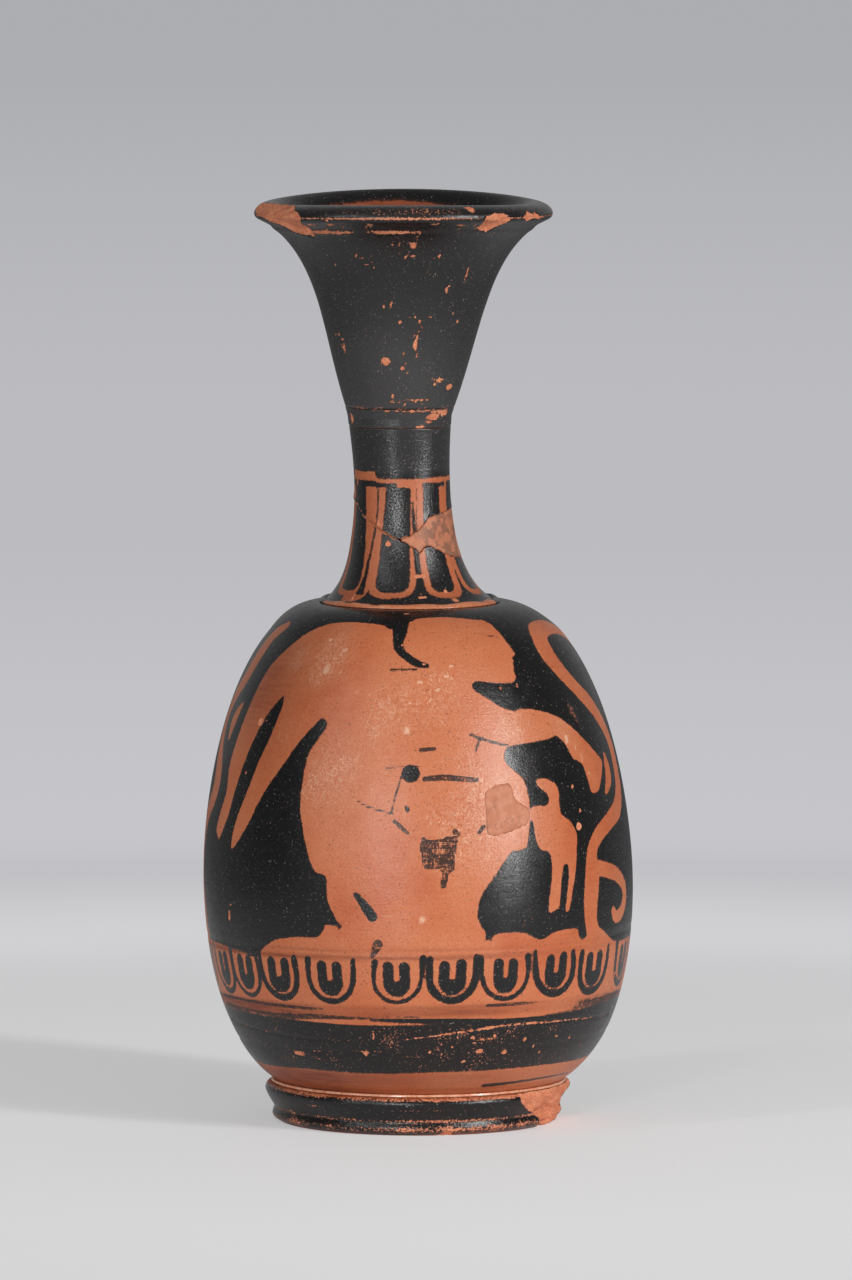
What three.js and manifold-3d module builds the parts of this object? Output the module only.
// Lekythos: a small red-figure oil jar, thrown in sections and luted together.
// Millimetres, +Z up. The jar stands on z = 0, its front faces -Y and its handle is at the back.

import * as THREE from 'three';
import { mergeVertices } from 'three/addons/utils/BufferGeometryUtils.js';
import Module from 'manifold-3d';

const wasm = await Module();
wasm.setup();

// Driving dimensions

const clearance = 0.3; // gap where one piece curves round another
const facets = 36; // sides of every turned piece
const longCurveSteps = 12; // rings along a wall's curve
const shortCurveSteps = 5; // rings along a lip or a collar
const strapSides = 12;
const strapSteps = 22; // rings along the handle
const padFacets = [20, 12]; // round and up a luting pad
const chipFaceting = 2; // subdivisions of a chip's rough face

// Heights of the thrown sections, each from its own seat to the next one
const footHeight = 7.6;
const footLutingHeight = 0.6;
const bodyHeight = 93.3;
const neckHeight = 34.5;
const mouthHeight = 44;

// Foot: a ring with an upper disc, a turned groove and a lower bead
const footEdgeRadius = 30;
const footEdgeDrop = 0.8; // edge below the foot's flat top
const footTopRadius = 28.9;
const footGrooveRadius = 28.3;
const footGrooveHeight = 2.9;
const footGrooveWidth = 0.5;
const footDiscRadius = 29.1; // upper disc, just above the groove
const footBeadRadius = 28.6;
const footBeadHeight = 1.7;
const footRestRadius = 27;
const footRestWidth = 5.5;
const footHoleRadius = 17.5;

// Body
const bodyBaseRadius = 28.4;
const bodyBaseFlare = [9.5, 6.1]; // lean of the wall where it leaves the foot: out, up
const bellyRadius = 42;
const bellyRise = 38.6; // widest level above the body's base
const bellyFullnessBelow = 16.9; // how long the wall stays upright below the widest level
const bellyFullnessAbove = 24.4;
const shoulderRadius = 18.6; // flat seat that the neck and its ring stand on
const shoulderSlope = [14.4, 0.9]; // run of the shoulder into that seat: out, down
const bodyWall = 4;
const bodyFloor = 5;

// Neck
const neckBaseRadius = 16.3;
const neckBaseEdge = 0.6; // upright edge of the flared base
const neckBaseCurve = [3.7, 2.4]; // run of the flare: in, up
const neckWaistRadius = 9.45;
const neckWaistRise = 23.5; // narrowest level above the shoulder
const neckWaistBelow = 13.9; // how long the wall stays upright below that level
const neckWaistAbove = 4.2;
const neckTopRadius = 10;
const neckTopCurve = [0.26, 2.8];
const neckBore = 6.4; // radius
const spigotRadius = 8.1;
const lowerSpigotDepth = 4.6;
const upperSpigotHeight = 4.2;

// Mouth
const mouthRootRadius = 10.7;
const mouthFlareLow = [5.15, 15.6]; // run of the trumpet at its root: out, up
const mouthFlareHigh = [11.5, 5.7]; // run of the trumpet under the lip: out, up
const lipUndersideRadius = 28.4;
const lipUndersideDrop = 3.3;
const lipRoll = [1.7, 0.8]; // roll of the lip past its underside: out, up
const lipCrestRadius = 25.5;
const lipCrestRoll = 3.4;
const funnelCrestRoll = 3;
const funnelRun = [7, 26]; // run of the funnel above the throat: out, up
const throatRadius = 7.5;
const throatRise = 1.2; // straight throat above the spigot's end

// Luting coils
const mouthLutingHeight = 3.5;
const mouthLutingThickness = 0.65;
const shoulderRingThickness = 1.3;
const shoulderRingHeight = 1.2;
const footLutingSetback = 0.4; // inside the body's base edge

// Handle: a strap with an oval section
const handleWidth = 9.4;
const handleThickness = 4.6;
const handleDrop = 6.4; // where its top end meets the neck, below the mouth
const handleReach = 28; // back of the neck to the strap's middle, from the jar's axis
const handleRise = 2; // arch above its top end
const handleRootRadius = 27.4; // where it meets the shoulder
const handleEmbed = 2; // depth of its ends past the surfaces that they are shaped to
const handlePadMargin = 1.6; // width of the luting round the strap's ends

// The jar is thrown by hand: its axis wanders sideways as it rises, and the lip is warped
const axisDrift = [
  [0, -0.2],
  [18, 0.5],
  [46.8, 0],
  [96, -0.6],
  [104, -2.1],
  [114, -2.9],
  [138, -3.6],
  [160, -3.1],
  [181, -2.9],
];
const lipWarp = 0.45; // front and back up, sides down
const lipWarpDepth = 22; // the warp dies out this far below the lip

// Break across the neck: paths of [across from the neck's axis, above the shoulder]
const breakLeft = [
  [-15, 21.2],
  [-6.5, 16.5],
  [-1.2, 12.9],
];
const breakAbove = [
  [2, 14.3],
  [4.8, 16.7],
  [7.5, 17.9],
  [15, 19.3],
];
const breakBelow = [
  [0.5, 12],
  [2.8, 10.4],
  [4.5, 11.6],
  [7.1, 10.5],
  [15, 8.3],
];
const neckFillStart = 0.4; // blunt edge of the fill, across from the neck's axis

// Fill let into the belly: corners of [along the girth, up] about its middle
const bellyFillAzimuth = 25; // degrees to the right of the front
const bellyFillRise = 56.5; // above the body's base
const bellyFillDepth = 1.6;
const bellyFillCorners = [
  [-4.5, 2.6],
  [-3.4, 4],
  [-0.5, 4.8],
  [1.3, 4.5],
  [2.2, 1.6],
  [4.8, -0.3],
  [4.9, -2.3],
  [3.4, -3.5],
  [-0.9, -4.7],
  [-4.2, -4.8],
  [-4.4, -1],
];

// Chips: place round the jar in degrees to the right of the front, centre below the lip or above the
// floor, and the length, depth and height of what broke away
const chipRoughness = 0.07; // share of a chip's own size
const chipLumps = [5, 6, 4]; // swellings per radian along, into and up the broken face
const lipChips = [
  { azimuth: -61, drop: 3.4, length: 21, depth: 1.5, height: 5.4 },
  { azimuth: 40, drop: 2.9, length: 7, depth: 1, height: 3.9 },
  { azimuth: 61, drop: 2, length: 4.6, depth: 0.8, height: 2.4 },
];
const footChip = { azimuth: 64, rise: 4.4, length: 22, depth: 1.4, height: 9 };

// Finishes
const blackGloss = { color: 0x2a2a2b, roughness: 0.38, metalness: 0 };
const redClay = { color: 0xc47a52, roughness: 0.7, metalness: 0 };
const fillPlaster = { color: 0xcd967a, roughness: 0.85, metalness: 0 };

// Levels that follow from the heights

const bodyBase = footHeight + footLutingHeight;
const bellyLevel = bodyBase + bellyRise;
const shoulderLevel = bodyBase + bodyHeight;
const neckWaistLevel = shoulderLevel + neckWaistRise;
const mouthLevel = shoulderLevel + neckHeight;
const lipLevel = mouthLevel + mouthHeight;
const socketRadius = spigotRadius + clearance;

// Curves, turning and cutting

function curve(start, startPull, endPull, end, steps) {
  const corners = [start, startPull, endPull, end].map(([r, z]) => new THREE.Vector2(r, z));
  const path = new THREE.CubicBezierCurve(...corners);
  return path.getPoints(steps).map((p) => [p.x, p.y]);
}

function axisAt(height) {
  const last = axisDrift.length - 1;
  if (height <= axisDrift[0][0]) return axisDrift[0][1];
  if (height >= axisDrift[last][0]) return axisDrift[last][1];
  const next = axisDrift.findIndex(([level]) => level > height);
  const [lowLevel, low] = axisDrift[next - 1];
  const [highLevel, high] = axisDrift[next];
  return THREE.MathUtils.lerp(low, high, (height - lowLevel) / (highLevel - lowLevel));
}

function throwByHand(geometry) {
  const position = geometry.getAttribute('position');
  for (let i = 0; i < position.count; i += 1) {
    const x = position.getX(i);
    const y = position.getY(i);
    const z = position.getZ(i);
    const warp = THREE.MathUtils.smoothstep(z, lipLevel - lipWarpDepth, lipLevel);
    const twoLobes = x * x + y * y > 0 ? (y * y - x * x) / (x * x + y * y) : 0;
    position.setX(i, x + axisAt(z));
    position.setZ(i, z + lipWarp * warp * twoLobes);
  }
  return geometry;
}

function toSolid(geometry) {
  const bare = geometry.clone();
  bare.deleteAttribute('normal');
  bare.deleteAttribute('uv');
  const merged = mergeVertices(bare);
  const corners = merged.index.array;
  const kept = [];
  for (let i = 0; i < corners.length; i += 3) {
    const [a, b, c] = [corners[i], corners[i + 1], corners[i + 2]];
    if (a !== b && b !== c && c !== a) kept.push(a, b, c);
  }
  const mesh = new wasm.Mesh({
    numProp: 3,
    vertProperties: new Float32Array(merged.getAttribute('position').array),
    triVerts: new Uint32Array(kept),
  });
  return new wasm.Manifold(mesh);
}

function turned(profile) {
  const points = [...profile, profile[0]].map(([r, z]) => new THREE.Vector2(r, z));
  const geometry = new THREE.LatheGeometry(points, facets);
  geometry.rotateX(Math.PI / 2);
  return toSolid(throwByHand(geometry));
}

// Solid block inside a wall's outer curve, moved out along the curve's normal by an offset
function turnedBlock(outerCurve, offset) {
  const wall = offsetCurve(outerCurve, offset);
  const bottom = wall[0][1];
  const top = wall[wall.length - 1][1];
  return turned([[0, bottom], ...wall, [0, top]]);
}

function offsetCurve(points, offset) {
  return points.map(([r, z], i) => {
    const [r0, z0] = points[Math.max(i - 1, 0)];
    const [r1, z1] = points[Math.min(i + 1, points.length - 1)];
    const length = Math.hypot(r1 - r0, z1 - z0);
    return [r + (offset * (z1 - z0)) / length, z - (offset * (r1 - r0)) / length];
  });
}

// Height at which a curve that narrows as it rises has a given radius
function heightAtRadius(points, radius) {
  const next = points.findIndex(([r]) => r < radius);
  const [r0, z0] = points[next - 1];
  const [r1, z1] = points[next];
  return THREE.MathUtils.mapLinear(radius, r0, r1, z0, z1);
}

// Radius of a rising curve at a given height
function radiusAtHeight(points, height) {
  const next = points.findIndex(([, z]) => z > height);
  const [r0, z0] = points[next - 1];
  const [r1, z1] = points[next];
  return THREE.MathUtils.mapLinear(height, z0, z1, r0, r1);
}

// Prism that runs right through the jar from front to back, on an outline of [x, z]
function frontPrism(outline) {
  const depth = 4 * bellyRadius;
  const shape = new THREE.Shape(outline.map(([x, z]) => new THREE.Vector2(x, z)));
  const geometry = new THREE.ExtrudeGeometry(shape, { depth, bevelEnabled: false });
  geometry.rotateX(Math.PI / 2);
  geometry.translate(0, depth / 2, 0);
  return toSolid(geometry);
}

// Rough lump, used to break a chip out of an edge
function lump(azimuth, radius, height, size) {
  const geometry = new THREE.IcosahedronGeometry(1, chipFaceting);
  const position = geometry.getAttribute('position');
  for (let i = 0; i < position.count; i += 1) {
    const point = new THREE.Vector3().fromBufferAttribute(position, i);
    const [along, into, up] = chipLumps.map((count, axis) => {
      return Math.sin(count * point.getComponent(axis) + axis);
    });
    point.multiplyScalar(1 + chipRoughness * along * into * up);
    position.setXYZ(i, point.x, point.y, point.z);
  }
  geometry.scale(size.length / 2, size.depth, size.height / 2);
  geometry.translate(0, -radius, 0);
  geometry.rotateZ(THREE.MathUtils.degToRad(azimuth));
  geometry.translate(axisAt(height), 0, height);
  return toSolid(geometry);
}

const jar = new THREE.Group();

function addPiece(name, solid, finish) {
  const { vertProperties, triVerts } = solid.getMesh();
  const geometry = new THREE.BufferGeometry();
  geometry.setAttribute('position', new THREE.BufferAttribute(vertProperties, 3));
  geometry.setIndex(new THREE.BufferAttribute(triVerts, 1));
  geometry.computeVertexNormals();
  const piece = new THREE.Mesh(geometry, new THREE.MeshStandardMaterial(finish));
  piece.name = name;
  jar.add(piece);
}

// Foot

function makeFoot() {
  const edgeLevel = footHeight - footEdgeDrop;
  const profile = [
    [footRestRadius, 0],
    [footBeadRadius, footBeadHeight / 2],
    [footBeadRadius, footBeadHeight],
    [footGrooveRadius, footGrooveHeight],
    [footDiscRadius, footGrooveHeight + footGrooveWidth],
    [footEdgeRadius, edgeLevel],
    [footTopRadius, footHeight],
    [footHoleRadius, footHeight],
    [footRestRadius - footRestWidth, 0],
  ];
  const chip = lump(footChip.azimuth, footEdgeRadius, footChip.rise, footChip);
  return turned(profile).subtract(chip);
}

addPiece('foot', makeFoot(), blackGloss);

function makeFootLuting() {
  const outer = bodyBaseRadius - footLutingSetback;
  return turned([
    [outer, footHeight],
    [outer, bodyBase],
    [footHoleRadius, bodyBase],
    [footHoleRadius, footHeight],
  ]);
}

addPiece('foot_luting', makeFootLuting(), redClay);

// Body

const lowerWall = curve(
  [bodyBaseRadius, bodyBase],
  [bodyBaseRadius + bodyBaseFlare[0], bodyBase + bodyBaseFlare[1]],
  [bellyRadius, bellyLevel - bellyFullnessBelow],
  [bellyRadius, bellyLevel],
  longCurveSteps,
);
const upperWall = curve(
  [bellyRadius, bellyLevel],
  [bellyRadius, bellyLevel + bellyFullnessAbove],
  [shoulderRadius + shoulderSlope[0], shoulderLevel - shoulderSlope[1]],
  [shoulderRadius, shoulderLevel],
  longCurveSteps,
);
const bodyWallCurve = [...lowerWall, ...upperWall.slice(1)];

function makeBody() {
  const floorLevel = bodyBase + bodyFloor;
  const ceilingLevel = shoulderLevel - bodyWall;
  const inside = offsetCurve(bodyWallCurve, -bodyWall)
    .filter(([, z]) => z > floorLevel + bodyFloor / 2 && z < ceilingLevel - clearance)
    .reverse();
  const floorRadius = inside[inside.length - 1][0] - bodyFloor;
  return turned([
    [0, bodyBase],
    ...bodyWallCurve,
    [socketRadius, shoulderLevel],
    [socketRadius, ceilingLevel],
    [shoulderRadius, ceilingLevel],
    ...inside,
    [floorRadius, floorLevel],
    [0, floorLevel],
  ]);
}

// Plug of the belly's outer skin, of a given depth and with its outline drawn in by a margin
function bellySkin(depth, margin) {
  const outline = bellyFillCorners.map(([across, up]) => {
    const size = Math.hypot(across, up);
    const scale = (size - margin) / size;
    return new THREE.Vector2(across * scale, up * scale);
  });
  const height = bodyBase + bellyFillRise;
  const reach = 2 * bellyRadius;
  const geometry = new THREE.ExtrudeGeometry(new THREE.Shape(outline), { depth: reach, bevelEnabled: false });
  geometry.rotateX(Math.PI / 2);
  geometry.rotateZ(THREE.MathUtils.degToRad(bellyFillAzimuth));
  geometry.translate(axisAt(height), 0, height);
  const prism = toSolid(geometry);
  const skin = turnedBlock(upperWall, 0).subtract(turnedBlock(upperWall, -depth));
  return prism.intersect(skin);
}

addPiece('body', makeBody().subtract(bellySkin(bellyFillDepth, 0)), redClay);
addPiece('belly_fill', bellySkin(bellyFillDepth - clearance, clearance), fillPlaster);

// Neck

const neckFlare = curve(
  [neckBaseRadius, shoulderLevel + neckBaseEdge],
  [neckBaseRadius - neckBaseCurve[0], shoulderLevel + neckBaseEdge + neckBaseCurve[1]],
  [neckWaistRadius, neckWaistLevel - neckWaistBelow],
  [neckWaistRadius, neckWaistLevel],
  longCurveSteps,
);
const neckCollar = curve(
  [neckWaistRadius, neckWaistLevel],
  [neckWaistRadius, neckWaistLevel + neckWaistAbove],
  [neckTopRadius - neckTopCurve[0], mouthLevel - neckTopCurve[1]],
  [neckTopRadius, mouthLevel],
  shortCurveSteps,
);
const neckWallCurve = [[neckBaseRadius, shoulderLevel], ...neckFlare, ...neckCollar.slice(1)];

const wholeNeck = turned([
  [neckBore, shoulderLevel - lowerSpigotDepth],
  [spigotRadius, shoulderLevel - lowerSpigotDepth],
  [spigotRadius, shoulderLevel],
  ...neckWallCurve,
  [spigotRadius, mouthLevel],
  [spigotRadius, mouthLevel + upperSpigotHeight],
  [neckBore, mouthLevel + upperSpigotHeight],
  [neckBore, neckWaistLevel],
]);

// Path across the neck, moved up or down by a margin
function breakPath(points, margin) {
  return points.map(([across, rise]) => {
    const height = shoulderLevel + rise;
    return [axisAt(height) + across, height + margin];
  });
}

// The part of a path to the right of the fill's blunt edge, starting on that edge
function pathFromFillStart(points) {
  const next = points.findIndex(([across]) => across > neckFillStart);
  const [a0, rise0] = points[next - 1];
  const [a1, rise1] = points[next];
  const startRise = THREE.MathUtils.mapLinear(neckFillStart, a0, a1, rise0, rise1);
  return [[neckFillStart, startRise], ...points.slice(next)];
}

function makeNeckPieces() {
  const upperEdge = [...breakLeft, ...breakAbove];
  const lowerEdge = [...breakLeft, ...breakBelow];
  const left = 2 * breakLeft[0][0];
  const sky = lipLevel + mouthHeight;
  const ground = 0;
  const ceiling = breakPath(upperEdge, clearance / 2);
  const floor = breakPath(lowerEdge, -clearance / 2);
  const roomAbove = frontPrism([[left, sky], ...ceiling, [-left, sky]]);
  const roomBelow = frontPrism([...floor.reverse(), [left, ground], [-left, ground]]);
  const fillTop = breakPath(pathFromFillStart(upperEdge), -clearance / 2);
  const fillBottom = breakPath(pathFromFillStart(lowerEdge), clearance / 2);
  const roomBetween = frontPrism([...fillBottom, ...fillTop.reverse()]);
  return {
    upper: wholeNeck.intersect(roomAbove),
    lower: wholeNeck.intersect(roomBelow),
    fill: wholeNeck.intersect(roomBetween),
  };
}

const neck = makeNeckPieces();
addPiece('neck_lower', neck.lower, blackGloss);
addPiece('neck_fill', neck.fill, fillPlaster);
addPiece('neck_upper', neck.upper, blackGloss);

function makeShoulderRing() {
  const inner = neckBaseRadius + clearance;
  const outer = inner + shoulderRingThickness;
  const top = shoulderLevel + shoulderRingHeight;
  const round = shoulderRingThickness / 3;
  return turned([
    [inner, shoulderLevel],
    [outer, shoulderLevel],
    [outer, top - round],
    [outer - round, top],
    [inner + round, top],
    [inner, top - round],
  ]);
}

addPiece('shoulder_ring', makeShoulderRing(), redClay);

// Mouth

const lutingTop = mouthLevel + mouthLutingHeight;
const rebateRadius = mouthRootRadius - mouthLutingThickness - 2 * clearance;
const trumpetRoot = [mouthRootRadius, lutingTop + clearance];
const lipUnderside = [lipUndersideRadius, lipLevel - lipUndersideDrop];
const lipCrest = [lipCrestRadius, lipLevel];

function makeMouth() {
  const trumpet = curve(
    trumpetRoot,
    [trumpetRoot[0] + mouthFlareLow[0], trumpetRoot[1] + mouthFlareLow[1]],
    [lipUnderside[0] - mouthFlareHigh[0], lipUnderside[1] - mouthFlareHigh[1]],
    lipUnderside,
    longCurveSteps,
  );
  const lip = curve(
    lipUnderside,
    [lipUnderside[0] + lipRoll[0], lipUnderside[1] + lipRoll[1]],
    [lipCrest[0] + lipCrestRoll, lipCrest[1]],
    lipCrest,
    shortCurveSteps,
  );
  const socketTop = mouthLevel + upperSpigotHeight + clearance;
  const throat = [throatRadius, socketTop + throatRise];
  const funnel = curve(
    lipCrest,
    [lipCrest[0] - funnelCrestRoll, lipCrest[1]],
    [throat[0] + funnelRun[0], throat[1] + funnelRun[1]],
    throat,
    longCurveSteps,
  );
  const profile = [
    [rebateRadius, mouthLevel],
    [rebateRadius, lutingTop + clearance],
    ...trumpet,
    ...lip.slice(1),
    ...funnel.slice(1),
    [throatRadius, socketTop],
    [socketRadius, socketTop],
    [socketRadius, mouthLevel],
  ];
  const chips = lipChips.map((chip) => {
    const radius = lipUndersideRadius + lipRoll[0] / 2;
    return lump(chip.azimuth, radius, lipLevel - chip.drop, chip);
  });
  return chips.reduce((whole, chip) => whole.subtract(chip), turned(profile));
}

addPiece('mouth', makeMouth(), blackGloss);

function makeMouthLuting() {
  const inner = rebateRadius + clearance;
  return turned([
    [inner, mouthLevel],
    [neckTopRadius, mouthLevel],
    [neckTopRadius + clearance / 2, (mouthLevel + lutingTop) / 2],
    [mouthRootRadius, lutingTop],
    [inner, lutingTop],
  ]);
}

addPiece('mouth_luting', makeMouthLuting(), blackGloss);

// Handle

const handleTopLevel = mouthLevel - handleDrop;
const neckBackRadius = radiusAtHeight(neckWallCurve, handleTopLevel);
const rootLevel = heightAtRadius(upperWall, handleRootRadius);

function handleStrap(margin) {
  const span = handleTopLevel - rootLevel;
  const topX = axisAt(handleTopLevel);
  const rootX = axisAt(shoulderLevel);
  const archX = (topX + rootX) / 2;
  const route = new THREE.CatmullRomCurve3([
    new THREE.Vector3(topX, neckBackRadius - handleEmbed, handleTopLevel - handleRise / 3),
    new THREE.Vector3(topX, neckBackRadius + handleEmbed, handleTopLevel + handleRise / 3),
    new THREE.Vector3(topX, (neckBackRadius + handleReach) / 2, handleTopLevel + handleRise),
    new THREE.Vector3(topX, handleReach - handleThickness, handleTopLevel),
    new THREE.Vector3(archX, handleReach - handleThickness / 4, handleTopLevel - span / 4),
    new THREE.Vector3(archX, handleReach, handleTopLevel - span / 2),
    new THREE.Vector3(rootX, (handleReach + handleRootRadius) / 2, rootLevel + span / 6),
    new THREE.Vector3(rootX, handleRootRadius, rootLevel - handleEmbed),
  ]);
  const section = new THREE.Shape();
  section.absellipse(0, 0, handleWidth / 2 + margin, handleThickness / 2 + margin, 0, 2 * Math.PI);
  const geometry = new THREE.ExtrudeGeometry(section, {
    curveSegments: strapSides / 2,
    steps: strapSteps,
    extrudePath: route,
    bevelEnabled: false,
  });
  return toSolid(geometry);
}

function pad(x, y, z, reach) {
  const geometry = new THREE.SphereGeometry(1, ...padFacets);
  geometry.scale(handleWidth / 2 + handlePadMargin, reach, handleThickness / 2 + 2 * handlePadMargin);
  geometry.translate(x, y, z);
  return toSolid(geometry);
}

const neckBlock = turnedBlock(neckWallCurve, clearance);
const bodyBlock = turnedBlock(upperWall, clearance);
const strap = handleStrap(0);
const strapRoom = handleStrap(clearance);
const topPadDepth = neckBackRadius - handlePadMargin / 2;
const topPad = pad(axisAt(handleTopLevel), topPadDepth, handleTopLevel, handleThickness);
const rootPad = pad(axisAt(shoulderLevel), handleRootRadius, rootLevel, handleThickness);

addPiece('handle', strap.subtract(neckBlock).subtract(bodyBlock), blackGloss);
addPiece('handle_top_luting', topPad.subtract(neckBlock).subtract(strapRoom), blackGloss);
addPiece('handle_root_luting', rootPad.subtract(bodyBlock).subtract(strapRoom), blackGloss);

export default jar;
